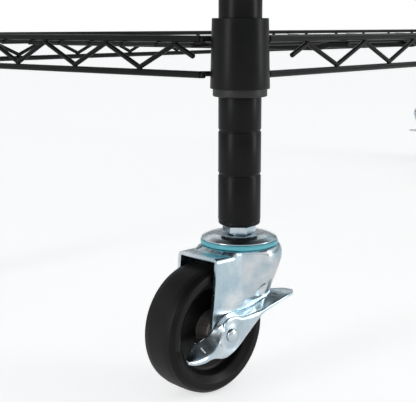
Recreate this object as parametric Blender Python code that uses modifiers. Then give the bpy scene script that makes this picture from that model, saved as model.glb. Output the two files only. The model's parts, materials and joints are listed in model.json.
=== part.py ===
"""Wire shelf cart: three welded wire shelves on four posts, carried by four swivel casters.

The origin is on the floor under the middle of the cart. +X runs along the long side, +Y towards
the back and +Z up. Each shelf hangs on the posts by split sleeves in tapered corner collars, and
each caster is a stem, an upper raceway, a seal ring, a fork, an axle and a wheel. The front left
and back right casters also carry a rocking brake lever on the end of the axle.
"""

import math

import bmesh
import bpy
from mathutils import Matrix, Vector

# Layout
POST_X = 0.4395  # half the distance between posts, along the long side
POST_Y = 0.1575  # half the distance between posts, across the short side
CORNERS = {
    "front_left": (-1, -1),
    "front_right": (1, -1),
    "back_left": (-1, 1),
    "back_right": (1, 1),
}
BRAKED = ("front_left", "back_right")

# Posts: tubes with a ring groove every inch, on which the shelves are set
POST_R = 0.0125
POST_WALL = 0.0012
POST_BOTTOM = 0.0935
POST_TOP = 0.8293
GROOVE_PITCH = 0.0254
CAP_R = 0.0128
CAP_HEIGHT = 0.0027
CAP_PLUG = 0.016
SOCKET_LENGTH = 0.024

# Shelves
COLLAR_BOTTOM = 0.1731  # of the lowest shelf, above the floor
COLLAR_HEIGHT = 0.040
COLLAR_R_TOP = 0.0163
COLLAR_R_BOTTOM = 0.0173
COLLAR_WALL = 0.0013
SHELVES = {"bottom": 0, "middle": 12, "top": 23}  # grooves above the lowest shelf
SLEEVE_BELOW = 0.0045  # how far the sleeve sticks out under the collar
SLEEVE_SLIT = 0.0022
RAIL_R = 0.0021
LOW_RAIL = 0.0076  # rail centre above the collar's bottom
HIGH_RAIL = 0.0281
SHORT_RAIL_OUT = 0.0110  # rail plane outside the post axes, at the short sides
LONG_RAIL_OUT = 0.0050  # the same at the long sides
WEB_R = 0.00155  # the zigzag wire between the rails
SHORT_WEB = (0.0403, 0.0586, 5)  # first top bend from the post axis, pitch, top bends
LONG_WEB = (0.0613, 0.06876, 12)
WELD_SINK = 0.0006  # how deep crossing wires sink into each other
BRACE_R = 0.0016
DECK_R = 0.0014
DECK_WIRES = 10
DECK_PITCH = 0.0294
STRINGER_R = 0.0022
STRINGERS = (0.107, 0.240, 0.373)  # distance from the post axes, at each end of the shelf
STRINGER_JOG = (0.140, 0.150)  # the stringer climbs to the rail between these, from the middle

# Casters, in a frame with the swivel axis as its Z and the trail along its +X
TRAIL = 0.0285
CASTER_TURN = math.radians(-6.2)  # the fork's resting turn away from straight outwards
WHEEL_R = 0.0372
WHEEL_HALF = 0.0126
WHEEL_ROUND = 0.005
RECESS_R = 0.0262
WEB_HALF = 0.0045
HUB_R = 0.0108
HUB_HALF = 0.0134
AXLE_R = 0.0030
AXLE_HEAD_R = 0.0040
AXLE_HEAD = 0.0018
FORK_HALF = 0.0160  # outside of the legs
SHEET = 0.0021
FORK_TOP = 0.0803
CROWN = 0.0822  # the round pad under the seal, pressed a little higher than the plate
FORK_FRONT = 0.0339
HOOD = (  # radius and height down the outside of the hood
    (0.0236, CROWN), (0.0253, FORK_TOP), (0.0253, 0.0745), (0.0216, 0.0630), (0.0181, 0.0537),
    (0.0158, 0.0480),
)
ARCH_TOP = 0.066
LEG_R = 0.0093
KINGPIN_R = 0.0060
KINGPIN_HEAD_R = 0.0090
SEAL_R = 0.0230
RACEWAY_R = 0.0225
RACEWAY_LIP = 0.0852
RACEWAY_TOP = 0.0885
HEX_R = 0.0098
HEX_TURN = math.radians(-19)  # how the stem happens to be screwed in
THREAD_R = 0.0048
THREAD_TOP = 0.1185
LEVER_IN = 0.0208  # inner face of the lever's side plate
LEVER_SHEET = 0.0017
TAB_IN = 0.0134  # inner edge of the lever's foot tabs
REAR_TAB_IN = 0.0100
FLANGE_IN = 0.0166  # inner edge of the flange along the top of the side plate
TONGUE_IN = 0.0062
GAP = 0.0003  # between pieces that touch

ROUND = 12  # steps round a small turned piece
FORK_STEPS = 16
WHEEL_STEPS = 24


def clear_scene():
    for item in list(bpy.data.objects):
        bpy.data.objects.remove(item, do_unlink=True)


def collection(name):
    group = bpy.data.collections.new(name)
    bpy.context.scene.collection.children.link(group)
    return group


def material(name, colour, roughness, metallic):
    finish = bpy.data.materials.new(name)
    finish.use_nodes = True
    shader = finish.node_tree.nodes["Principled BSDF"]
    shader.inputs["Base Color"].default_value = (*colour, 1.0)
    shader.inputs["Roughness"].default_value = roughness
    shader.inputs["Metallic"].default_value = metallic
    return finish


def place(name, data, finish, parent=None, location=(0, 0, 0), rotation=(0, 0, 0)):
    """Put a mesh in the cart's collection as one named piece."""
    piece = bpy.data.objects.new(name, data)
    PARTS.objects.link(piece)
    if finish.name not in data.materials:
        data.materials.append(finish)
    piece.location = location
    piece.rotation_euler = rotation
    piece.parent = parent
    return piece


def empty(name, location, turn=0.0):
    pivot = bpy.data.objects.new(name, None)
    PARTS.objects.link(pivot)
    pivot.location = location
    pivot.rotation_euler = (0, 0, turn)
    return pivot


def tool(name, data):
    """A shape that is only cut or joined into a piece."""
    item = bpy.data.objects.new(name, data)
    TOOLS.objects.link(item)
    item.hide_render = True
    item.display_type = "WIRE"
    return item


def evaluated_mesh(item, name):
    """The item's mesh with its modifiers and placing applied, loose caps welded."""
    bpy.context.view_layer.update()
    graph = bpy.context.evaluated_depsgraph_get()
    mesh = bpy.data.meshes.new_from_object(item.evaluated_get(graph))
    mesh.transform(item.matrix_world)
    shape = bmesh.new()
    shape.from_mesh(mesh)
    bmesh.ops.remove_doubles(shape, verts=shape.verts, dist=1e-6)
    shape.to_mesh(mesh)
    shape.free()
    mesh.name = name
    return mesh


def bake(item, name):
    """Replace a tool object by its evaluated mesh."""
    mesh = evaluated_mesh(item, name)
    bpy.data.objects.remove(item, do_unlink=True)
    return mesh


def turned(name, profile, steps=ROUND, ring=True):
    """A profile of (radius, height) points turned round Z. Its outer side runs downwards."""
    mesh = bpy.data.meshes.new(name)
    count = len(profile)
    edges = [(i, i + 1) for i in range(count - 1)]
    if ring:
        edges.append((count - 1, 0))
    mesh.from_pydata([(r, 0, z) for r, z in profile], edges, [])
    item = tool(name, mesh)
    screw = item.modifiers.new("turn", "SCREW")
    screw.steps = steps
    screw.render_steps = steps
    screw.use_merge_vertices = True
    screw.merge_threshold = 1e-5
    screw.use_smooth_shade = True
    shape = bake(item, name)
    shape.shade_smooth()
    shape.set_sharp_from_angle(angle=math.radians(35))
    return shape


def wire(name, points, radius, sides=6):
    """A round wire through the points, with closed ends."""
    curve = bpy.data.curves.new(name, "CURVE")
    curve.dimensions = "3D"
    curve.bevel_depth = radius
    curve.bevel_resolution = sides // 2 - 2
    curve.use_fill_caps = True
    line = curve.splines.new("POLY")
    line.points.add(len(points) - 1)
    for point, place_at in zip(line.points, points):
        point.co = (*place_at, 1.0)
    return bake(tool(name, curve), name)


def slab(name, outline, thickness, turn=Matrix()):
    """A flat outline in XY, extruded evenly to both sides, then turned and moved."""
    curve = bpy.data.curves.new(name, "CURVE")
    curve.dimensions = "2D"
    curve.fill_mode = "BOTH"
    curve.extrude = thickness / 2
    line = curve.splines.new("POLY")
    line.points.add(len(outline) - 1)
    for point, (x, y) in zip(line.points, outline):
        point.co = (x, y, 0.0, 1.0)
    line.use_cyclic_u = True
    mesh = bake(tool(name, curve), name)
    mesh.transform(turn)
    return mesh


def rod(name, radius, length, turn=Matrix(), sides=16):
    """A cylinder round Z, centred, then turned and moved."""
    shape = bmesh.new()
    bmesh.ops.create_cone(
        shape, cap_ends=True, segments=sides, radius1=radius, radius2=radius, depth=length
    )
    mesh = bpy.data.meshes.new(name)
    shape.to_mesh(mesh)
    shape.free()
    mesh.transform(turn)
    return mesh


def block(name, low, high):
    shape = bmesh.new()
    bmesh.ops.create_cube(shape, size=1.0)
    mesh = bpy.data.meshes.new(name)
    shape.to_mesh(mesh)
    shape.free()
    low, high = Vector(low), Vector(high)
    mesh.transform(Matrix.Translation((low + high) / 2) @ Matrix.Diagonal((*(high - low), 1.0)))
    return mesh


def boolean(name, base, others, operation):
    """Join the other meshes to the base, or cut them from it, as one clean mesh."""
    group = bpy.data.collections.new(name + "_tools")
    TOOLS.children.link(group)
    helpers = [tool(f"{name}_{i}", mesh) for i, mesh in enumerate(others)]
    for helper in helpers:
        group.objects.link(helper)
        TOOLS.objects.unlink(helper)
    item = tool(name, base)
    step = item.modifiers.new(operation.lower(), "BOOLEAN")
    step.operation = operation
    step.solver = "EXACT"
    step.operand_type = "COLLECTION"
    step.collection = group
    result = bake(item, name)
    for helper in helpers:
        bpy.data.objects.remove(helper, do_unlink=True)
    bpy.data.collections.remove(group)
    return result


def join(name, meshes):
    return boolean(name, meshes[0], meshes[1:], "UNION")


def cut(name, base, cutters):
    return boolean(name, base, cutters, "DIFFERENCE")


def arc(centre, radius, start, end, steps):
    """Points on an arc, with the angles in degrees."""
    points = []
    for i in range(steps + 1):
        angle = math.radians(start + (end - start) * i / steps)
        points.append((centre[0] + radius * math.cos(angle), centre[1] + radius * math.sin(angle)))
    return points


# Posts


def post_mesh():
    inner = POST_R - POST_WALL
    edge = 0.0008
    return turned("post", [
        (inner, POST_TOP), (POST_R, POST_TOP), (POST_R, POST_BOTTOM + edge),
        (POST_R - edge, POST_BOTTOM), (inner, POST_BOTTOM),
    ])


def cap_mesh():
    """A plug in the top of the post, under a flat round head."""
    plug = POST_R - POST_WALL - GAP
    under = POST_TOP + GAP
    top = under + CAP_HEIGHT
    edge = 0.0010
    return turned("cap", [
        (0, top), (CAP_R - edge, top), (CAP_R, top - edge), (CAP_R, under), (plug, under),
        (plug, POST_TOP - CAP_PLUG), (0, POST_TOP - CAP_PLUG),
    ], ring=False)


def socket_mesh():
    """The threaded bush that is pressed into the bottom of the post."""
    outer = POST_R - POST_WALL - GAP
    bore = THREAD_R + GAP
    low = POST_BOTTOM + 0.0006
    return turned("socket", [
        (bore, low + SOCKET_LENGTH), (outer, low + SOCKET_LENGTH), (outer, low), (bore, low),
    ])


# Shelves


def collar_mesh():
    top = COLLAR_BOTTOM + COLLAR_HEIGHT
    return turned("collar", [
        (COLLAR_R_TOP - COLLAR_WALL, top), (COLLAR_R_TOP, top),
        (COLLAR_R_BOTTOM, COLLAR_BOTTOM), (COLLAR_R_BOTTOM - COLLAR_WALL, COLLAR_BOTTOM),
    ])


def sleeve_mesh():
    """A tapered bush, thicker at the bottom, slit so that it opens round the post."""
    bore = POST_R + GAP
    top = COLLAR_BOTTOM + COLLAR_HEIGHT - 0.001
    low = COLLAR_BOTTOM - SLEEVE_BELOW
    r_top = COLLAR_R_TOP - COLLAR_WALL - GAP
    r_low = COLLAR_R_BOTTOM - COLLAR_WALL - GAP
    body = turned("sleeve", [(bore, top), (r_top, top), (r_low, low), (bore, low)])
    slit = block("slit", (0, -SLEEVE_SLIT / 2, low - 0.01), (0.03, SLEEVE_SLIT / 2, top + 0.01))
    return cut("sleeve", body, [slit])


def rail_start(height, out):
    """How far from the post axis a rail starts, so that its end sinks into the collar's wall."""
    collar_r = COLLAR_R_BOTTOM + (COLLAR_R_TOP - COLLAR_R_BOTTOM) * height / COLLAR_HEIGHT
    return math.sqrt((collar_r - COLLAR_WALL / 2)**2 - (out - RAIL_R)**2)


def side_rails():
    """The two rails of each side, as (start, end) in the lowest shelf's place."""
    x = POST_X + SHORT_RAIL_OUT
    y = POST_Y + LONG_RAIL_OUT
    for height in (LOW_RAIL, HIGH_RAIL):
        z = COLLAR_BOTTOM + height
        short_end = POST_Y - rail_start(height, SHORT_RAIL_OUT)
        long_end = POST_X - rail_start(height, LONG_RAIL_OUT)
        for side in (-1, 1):
            yield (side * x, -short_end, z), (side * x, short_end, z)
            yield (-long_end, side * y, z), (long_end, side * y, z)


def zigzag(first, pitch, tops, span):
    """Distances from the start post and heights of the bends, with a free half leg at each end."""
    high = COLLAR_BOTTOM + HIGH_RAIL - RAIL_R - WEB_R + WELD_SINK
    low = COLLAR_BOTTOM + LOW_RAIL + RAIL_R + WEB_R - WELD_SINK
    middle = (high + low) / 2
    points = [(first - pitch / 4, middle)]
    for i in range(tops):
        at = first + i * pitch
        points.append((at, high))
        if i < tops - 1:
            points.append((at + pitch / 2, low))
    points.append((first + (tops - 1) * pitch + pitch / 4, middle))
    return [(at - span, z) for at, z in points]


def corner_braces():
    """Wires across the inside of each corner, behind the collar, at both rail heights."""
    x = POST_X + SHORT_RAIL_OUT
    y = POST_Y + LONG_RAIL_OUT
    behind = COLLAR_R_BOTTOM + BRACE_R - WELD_SINK
    reach = behind * math.sqrt(2) + SHORT_RAIL_OUT  # along the short side, from the post axis
    reach_long = behind * math.sqrt(2) + LONG_RAIL_OUT
    for height in (LOW_RAIL, HIGH_RAIL):
        z = COLLAR_BOTTOM + height
        for sx, sy in CORNERS.values():
            yield (
                (sx * x, sy * (POST_Y - reach), z),
                (sx * (POST_X - reach_long), sy * y, z),
            )


def shelf_frame_mesh():
    """Four collars, the double rails, their zigzags and the corner braces, welded as one."""
    collar = collar_mesh()
    pieces = []
    for sx, sy in CORNERS.values():
        corner = collar.copy()
        corner.transform(Matrix.Translation((sx * POST_X, sy * POST_Y, 0)))
        pieces.append(corner)
    for start, end in side_rails():
        pieces.append(wire("rail", [start, end], RAIL_R, sides=4))
    for start, end in corner_braces():
        pieces.append(wire("brace", [start, end], BRACE_R, sides=4))
    short_bends = zigzag(*SHORT_WEB, POST_Y)
    long_bends = zigzag(*LONG_WEB, POST_X)
    for side in (-1, 1):
        x = side * (POST_X + SHORT_RAIL_OUT)
        y = side * (POST_Y + LONG_RAIL_OUT)
        # Each side starts at the post that the opposite side ends at.
        pieces.append(wire("web", [(x, side * at, z) for at, z in short_bends], WEB_R, 4))
        pieces.append(wire("web", [(-side * at, y, z) for at, z in long_bends], WEB_R, 4))
    return join("shelf_frame", pieces)


def shelf_deck_mesh():
    """The mat: long wires side by side, on stringers that cross under them."""
    high_rail = COLLAR_BOTTOM + HIGH_RAIL
    z = high_rail - RAIL_R - DECK_R - GAP
    low = z - DECK_R - STRINGER_R + WELD_SINK
    high = high_rail - RAIL_R - STRINGER_R - GAP
    x = POST_X + SHORT_RAIL_OUT + RAIL_R
    pieces = []
    for i in range(DECK_WIRES):
        y = (i - (DECK_WIRES - 1) / 2) * DECK_PITCH
        pieces.append(wire("deck_wire", [(-x, y, z), (x, y, z)], DECK_R, sides=4))
    y = POST_Y + LONG_RAIL_OUT + RAIL_R
    jog_in, jog_out = STRINGER_JOG
    run = [(-y, high), (-jog_out, high), (-jog_in, low), (jog_in, low), (jog_out, high), (y, high)]
    for distance in STRINGERS:
        for x in (distance - POST_X, POST_X - distance):
            pieces.append(wire("stringer", [(x, at, z) for at, z in run], STRINGER_R, sides=4))
    return join("shelf_deck", pieces)


# Casters


def stem_mesh():
    """Threaded stem, hexagon and kingpin in one, with the kingpin's head under the fork plate."""
    under = CROWN - SHEET - GAP
    thread = turned("thread", [
        (0, THREAD_TOP), (THREAD_R - 0.0006, THREAD_TOP), (THREAD_R, THREAD_TOP - 0.0006),
        (THREAD_R, RACEWAY_TOP + 0.001), (KINGPIN_R, RACEWAY_TOP + 0.001), (KINGPIN_R, under),
        (KINGPIN_HEAD_R, under), (KINGPIN_HEAD_R, under - 0.0012), (KINGPIN_R, under - 0.0026),
        (0, under - 0.0026),
    ], ring=False)
    hex_low = RACEWAY_TOP + GAP
    hex_top = POST_BOTTOM - GAP
    middle = Matrix.Translation((0, 0, (hex_low + hex_top) / 2))
    turn = middle @ Matrix.Rotation(HEX_TURN, 4, "Z")
    nut = rod("hexagon", HEX_R, hex_top - hex_low, turn, sides=6)
    return join("stem", [thread, nut])


def raceway_mesh():
    """A shallow dished washer whose rolled lip overhangs the seal."""
    bore = KINGPIN_R + GAP
    sheet = 0.0016
    return turned("raceway", [
        (bore, RACEWAY_TOP), (0.0135, RACEWAY_TOP), (RACEWAY_R, RACEWAY_LIP + 0.0008),
        (RACEWAY_R, RACEWAY_LIP), (0.0190, RACEWAY_LIP), (0.0130, RACEWAY_TOP - sheet),
        (bore, RACEWAY_TOP - sheet),
    ])


def seal_mesh():
    """The ring that closes the gap between the raceway and the fork."""
    top = RACEWAY_LIP - GAP
    low = CROWN + GAP
    return turned("seal", [
        (0.0175, top), (SEAL_R, top), (SEAL_R, low), (0.0175, low),
    ])


def side_turn(offset):
    """Stand an outline drawn in XY up in XZ, with its middle at the given Y."""
    return Matrix.Translation((0, offset, 0)) @ Matrix.Rotation(math.pi / 2, 4, "X")


def leg_outline():
    """The fork seen from the side: plate line, front edge, round end at the axle, rear edge."""
    axle = (TRAIL, WHEEL_R)
    front = arc(axle, LEG_R, 5, -125, 5)
    return [(0, FORK_TOP), (-0.012, FORK_TOP), (-0.012, 0.0570), (-0.0095, 0.0535)] + \
        front[::-1] + [(FORK_FRONT, FORK_TOP)]


def fork_mesh():
    """Pressed sheet: a round hood over the swivel, running forward into two flat legs."""
    outer_hood = turned("hood", [(0, CROWN), *HOOD, (0, HOOD[-1][1])], FORK_STEPS, False)
    body = slab("legs", leg_outline(), 2 * FORK_HALF, side_turn(0))
    outside = join("fork", [outer_hood, body])
    ceiling = FORK_TOP - SHEET
    inner = [(r - SHEET, z - SHEET if z >= FORK_TOP else z) for r, z in HOOD]
    hollow = turned("hollow", [(0, CROWN - SHEET), *inner, (inner[-1][0], 0.02), (0, 0.02)],
                    FORK_STEPS, False)
    far = 0.060
    between = slab("between", [
        (-far, 0.010), (far, 0.010), (far, ceiling), (0, ceiling), (0, ARCH_TOP),
        (-far, ARCH_TOP),
    ], 2 * (FORK_HALF - SHEET), side_turn(0))
    room = join("room", [hollow, between])
    pin_hole = rod("pin_hole", KINGPIN_R + GAP, 0.02, Matrix.Translation((0, 0, FORK_TOP)))
    axle_hole = rod("axle_hole", AXLE_R + GAP, 0.08,
                    Matrix.Translation((TRAIL, 0, WHEEL_R)) @ Matrix.Rotation(math.pi / 2, 4, "X"),
                    sides=12)
    return cut("fork", outside, [room, pin_hole, axle_hole])


def wheel_mesh():
    """Solid wheel with a rounded tread, a recessed web and a long hub, turned round Z."""
    half = []
    rounding = arc((WHEEL_R - WHEEL_ROUND, WHEEL_HALF - WHEEL_ROUND), WHEEL_ROUND, 90, 0, 2)
    half += [(AXLE_R + GAP, HUB_HALF), (HUB_R - 0.0006, HUB_HALF), (HUB_R, WEB_HALF),
             (RECESS_R - 0.0008, WEB_HALF), (RECESS_R, WHEEL_HALF - 0.0006)]
    half += rounding
    other = [(r, -z) for r, z in reversed(half)]
    return turned("wheel", half + other, steps=WHEEL_STEPS)


def axle_mesh(near_end):
    """A riveted axle along Y, headed outside the far leg and at near_end."""
    far_end = -(FORK_HALF + GAP)
    head_r, shank, dome = AXLE_HEAD_R, AXLE_R, AXLE_HEAD
    return turned("axle", [
        (0, near_end + dome), (head_r * 0.6, near_end + dome * 0.85), (head_r, near_end + 0.0004),
        (head_r, near_end), (shank, near_end), (shank, far_end), (head_r, far_end),
        (head_r, far_end - 0.0004), (head_r * 0.6, far_end - dome * 0.85), (0, far_end - dome),
    ], steps=12, ring=False)


def lever_mesh():
    """The rocking brake lever, about the axle: a side plate, its bent top flange and two foot tabs.

    Seen from the side, the front tab is low and the rear tab is high. A tongue on the front tab
    reaches into the wheel's recess.
    """
    plate_out = LEVER_IN + LEVER_SHEET
    centre = (LEVER_IN + plate_out) / 2
    plate = slab("plate", [
        (-0.0330, 0.0115), (-0.0200, 0.0095), (-0.0050, 0.0103), (0.0010, 0.0105),
        (0.0045, 0.0080), (0.0070, 0.0030), (0.0110, -0.0012), (0.0160, -0.0045),
        (0.0240, -0.0068), (0.0315, -0.0080), (0.0315, -0.0095), (0.0245, -0.0110),
        (0.0100, -0.0112), (0.0025, -0.0116), (-0.0045, -0.0086), (-0.0200, 0.0030),
        (-0.0260, 0.0079), (-0.0330, 0.0098),
    ], LEVER_SHEET, side_turn(centre))

    def tab(name, outline, width_in):
        return slab(name, outline, centre - width_in, side_turn((width_in + centre) / 2))

    flange = tab("flange", [
        (-0.0420, 0.0150), (-0.0330, 0.0127), (-0.0260, 0.0110), (-0.0150, 0.0100),
        (-0.0060, 0.0106), (0.0012, 0.0110), (0.0052, 0.0086), (0.0078, 0.0038),
        (0.0124, -0.0010), (0.0110, -0.0028), (0.0062, 0.0026), (0.0036, 0.0072),
        (0.0006, 0.0092), (-0.0060, 0.0089), (-0.0150, 0.0083), (-0.0260, 0.0093),
        (-0.0330, 0.0110), (-0.0420, 0.0132),
    ], FLANGE_IN)
    front = tab("front_tab", [
        (0.0121, -0.0008), (0.0160, -0.0038), (0.0240, -0.0062), (0.0315, -0.0076),
        (0.0315, -0.0092), (0.0240, -0.0079), (0.0155, -0.0056), (0.0121, -0.0028),
    ], TAB_IN)
    tongue = slab("tongue", [
        (0.0135, -0.0026), (0.0135, -0.0040), (0.0175, -0.0059), (0.0175, -0.0045),
    ], 0.0080, side_turn(TONGUE_IN + 0.0040))
    rear = tab("rear_tab", [
        (-0.0402, 0.0127), (-0.0402, 0.0144), (-0.0500, 0.0159), (-0.0568, 0.0152),
        (-0.0568, 0.0136), (-0.0500, 0.0142),
    ], REAR_TAB_IN)
    hole = rod("hole", AXLE_R + GAP, 0.02,
               Matrix.Translation((0, centre, 0)) @ Matrix.Rotation(math.pi / 2, 4, "X"), sides=12)
    return join("lever", [cut("plate", plate, [hole]), flange, front, tongue, rear])


# Assembly


def build_posts(steel, plastic, zinc):
    post, cap, socket = post_mesh(), cap_mesh(), socket_mesh()
    for corner, (sx, sy) in CORNERS.items():
        at = (sx * POST_X, sy * POST_Y, 0)
        place(f"post_{corner}", post, steel, location=at)
        place(f"post_cap_{corner}", cap, plastic, location=at)
        place(f"stem_socket_{corner}", socket, zinc, location=at)


def build_shelves(steel, plastic):
    frame, deck, sleeve = shelf_frame_mesh(), shelf_deck_mesh(), sleeve_mesh()
    for shelf, grooves in SHELVES.items():
        lift = grooves * GROOVE_PITCH
        place(f"shelf_frame_{shelf}", frame, steel, location=(0, 0, lift))
        place(f"shelf_deck_{shelf}", deck, steel, location=(0, 0, lift))
        for corner, (sx, sy) in CORNERS.items():
            place(f"sleeve_{shelf}_{corner}", sleeve, plastic,
                  location=(sx * POST_X, sy * POST_Y, lift))


def build_casters(zinc, teal, tread):
    stem, raceway, seal, fork = stem_mesh(), raceway_mesh(), seal_mesh(), fork_mesh()
    wheel, lever = wheel_mesh(), lever_mesh()
    plain_axle = axle_mesh(FORK_HALF + GAP)
    brake_axle = axle_mesh(LEVER_IN + LEVER_SHEET + GAP)
    across = (-math.pi / 2, 0, 0)  # turns a piece's Z to +Y
    for corner, (sx, sy) in CORNERS.items():
        outwards = 0.0 if sx > 0 else math.pi
        swivel = empty(f"swivel_{corner}", (sx * POST_X, sy * POST_Y, 0), outwards + CASTER_TURN)
        place(f"caster_stem_{corner}", stem, zinc, swivel)
        place(f"caster_raceway_{corner}", raceway, zinc, swivel)
        place(f"caster_seal_{corner}", seal, teal, swivel)
        place(f"caster_fork_{corner}", fork, zinc, swivel)
        hub = (TRAIL, 0, WHEEL_R)
        place(f"caster_wheel_{corner}", wheel, tread, swivel, hub, across)
        axle = brake_axle if corner in BRAKED else plain_axle
        place(f"caster_axle_{corner}", axle, zinc, swivel, hub, across)
        if corner in BRAKED:
            place(f"brake_lever_{corner}", lever, zinc, swivel, hub)


clear_scene()
PARTS = collection("wire_shelf_cart")
TOOLS = collection("cutters")
BLACK_STEEL = material("black_powder_coat", (0.012, 0.012, 0.013), 0.38, 0.0)
BLACK_PLASTIC = material("black_plastic", (0.015, 0.015, 0.015), 0.5, 0.0)
ZINC = material("zinc_plate", (0.72, 0.76, 0.80), 0.28, 1.0)
TEAL = material("teal_plastic", (0.16, 0.55, 0.62), 0.4, 0.0)
RUBBER = material("hard_rubber", (0.018, 0.017, 0.017), 0.45, 0.0)
build_posts(BLACK_STEEL, BLACK_PLASTIC, ZINC)
build_shelves(BLACK_STEEL, BLACK_PLASTIC)
build_casters(ZINC, TEAL, RUBBER)
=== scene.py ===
"""Looks of the wire shelf cart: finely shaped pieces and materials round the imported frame.

The cart stands on the floor with +X along its long side and +Z up. Caster pieces are shaped in a
frame with the swivel axis as Z, the trail along +X (called u here) and the braked side along +Y
(called v), and are then put at each corner. Lengths are in metres.
"""

import json
import math

import bmesh
import bpy
import numpy as np
from mathutils import Matrix, Vector

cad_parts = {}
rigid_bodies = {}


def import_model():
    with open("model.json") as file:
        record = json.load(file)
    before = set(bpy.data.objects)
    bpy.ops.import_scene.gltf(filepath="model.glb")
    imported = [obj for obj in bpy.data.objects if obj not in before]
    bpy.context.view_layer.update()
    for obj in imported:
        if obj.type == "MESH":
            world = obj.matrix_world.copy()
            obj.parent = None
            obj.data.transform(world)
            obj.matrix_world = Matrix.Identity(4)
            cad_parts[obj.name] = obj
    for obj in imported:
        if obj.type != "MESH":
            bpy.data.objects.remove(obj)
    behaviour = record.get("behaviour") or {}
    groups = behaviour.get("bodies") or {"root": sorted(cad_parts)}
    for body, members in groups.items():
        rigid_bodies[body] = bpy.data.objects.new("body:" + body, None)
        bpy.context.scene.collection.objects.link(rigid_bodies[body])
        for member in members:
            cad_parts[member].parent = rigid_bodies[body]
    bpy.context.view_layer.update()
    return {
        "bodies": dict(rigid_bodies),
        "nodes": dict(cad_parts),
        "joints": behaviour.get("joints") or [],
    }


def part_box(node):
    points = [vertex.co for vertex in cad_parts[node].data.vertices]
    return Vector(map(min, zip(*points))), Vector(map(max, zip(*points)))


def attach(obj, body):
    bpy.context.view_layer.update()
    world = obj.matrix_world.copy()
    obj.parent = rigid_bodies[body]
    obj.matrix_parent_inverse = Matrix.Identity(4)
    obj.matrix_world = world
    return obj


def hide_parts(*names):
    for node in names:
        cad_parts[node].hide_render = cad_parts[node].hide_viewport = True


MM = 0.001
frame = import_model()
JOINTS = {joint["name"]: joint for joint in frame["joints"]}
CORNERS = ("front_left", "front_right", "back_left", "back_right")
BRAKED = [corner for corner in CORNERS if "brake_" + corner in frame["bodies"]]
SHELVES = ("bottom", "middle", "top")


def middle(node):
    low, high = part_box(node)
    return (low + high) / 2


# Sizes read from the frame
POST_LOW, POST_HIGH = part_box("post_front_left")
POST_R = (POST_HIGH.x - POST_LOW.x) / 2
AXES = {corner: Vector((*middle("post_" + corner).xy, 0)) for corner in CORNERS}
POST_X = AXES["front_right"].x
POST_Y = AXES["back_right"].y
SHELF_LOW, SHELF_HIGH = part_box("shelf_frame_bottom")
SHELF_LIFT = {shelf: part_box("shelf_frame_" + shelf)[0].z - SHELF_LOW.z for shelf in SHELVES}
SLEEVE_LOW, SLEEVE_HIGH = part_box("sleeve_bottom_front_left")
CAP_LOW, CAP_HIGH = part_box("post_cap_front_left")
SEAL_LOW, SEAL_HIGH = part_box("caster_seal_front_left")
SEAL_R = (SEAL_HIGH.x - SEAL_LOW.x) / 2
RACEWAY_LOW, RACEWAY_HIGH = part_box("caster_raceway_front_left")
RACEWAY_R = (RACEWAY_HIGH.x - RACEWAY_LOW.x) / 2
HUB = Vector(JOINTS["roll_front_left"]["pos_m"])
TRAIL = (HUB.xy - AXES["front_left"].xy).length
WHEEL_R = HUB.z

# Posts
GROOVE_PITCH = 25.4 * MM
FIRST_GROOVE = 123.6 * MM
GROOVE_HALF = 1.15 * MM
GROOVE_DEPTH = 0.55 * MM
POST_WALL = 1.2 * MM

# Shelves
COLLAR_R_TOP = 16.3 * MM
COLLAR_R_LOW = SHELF_HIGH.x - POST_X
COLLAR_WALL = 1.3 * MM
RAIL_R = 2.1 * MM
LOW_RAIL = SHELF_LOW.z + 7.6 * MM
HIGH_RAIL = SHELF_LOW.z + 28.1 * MM
SHORT_RAIL_X = POST_X + 11.0 * MM  # rail planes of the short and the long sides
LONG_RAIL_Y = POST_Y + 5.0 * MM
WEB_R = 1.55 * MM
SHORT_WEB = (40.3 * MM, 58.6 * MM, 5)  # first top bend from the post axis, pitch, top bends
LONG_WEB = (61.3 * MM, 68.76 * MM, 12)
WELD_SINK = 0.6 * MM
BRACE_R = 1.6 * MM
DECK_R = 1.4 * MM
DECK_WIRES = 10
DECK_PITCH = 29.4 * MM
STRINGER_R = 2.2 * MM
STRINGERS = (107 * MM, 240 * MM, 373 * MM)
STRINGER_JOG = (140 * MM, 150 * MM)
GAP = 0.3 * MM

# Casters
FORK_HALF = 16.0 * MM
SHEET = 2.1 * MM
FORK_TOP = 80.3 * MM
CROWN = SEAL_LOW.z - GAP  # the fork's raised ring under the seal
FORK_FRONT = 33.9 * MM
HOOD_R = 25.3 * MM
LEG_R = 9.3 * MM
LEVER_OUT = 22.5 * MM
LEVER_SHEET = 1.7 * MM

HEX_R = 9.8 * MM
HEX_TURN = 11  # degrees from the trail to the first corner of the hexagon
STEM_TOP = 118.5 * MM
THREAD_R = 4.8 * MM
THREAD_PITCH = 1.25 * MM
THREAD_DEPTH = 0.55 * MM
BAR_LENGTH, BAR_R = 4.4 * MM, 0.42 * MM  # the marks on the lever's two tabs
RING_R, RING_WIRE = 2.1 * MM, 0.4 * MM

ROUND = 48
CASTER_ROUND = 96


# Shaping helpers


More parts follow.
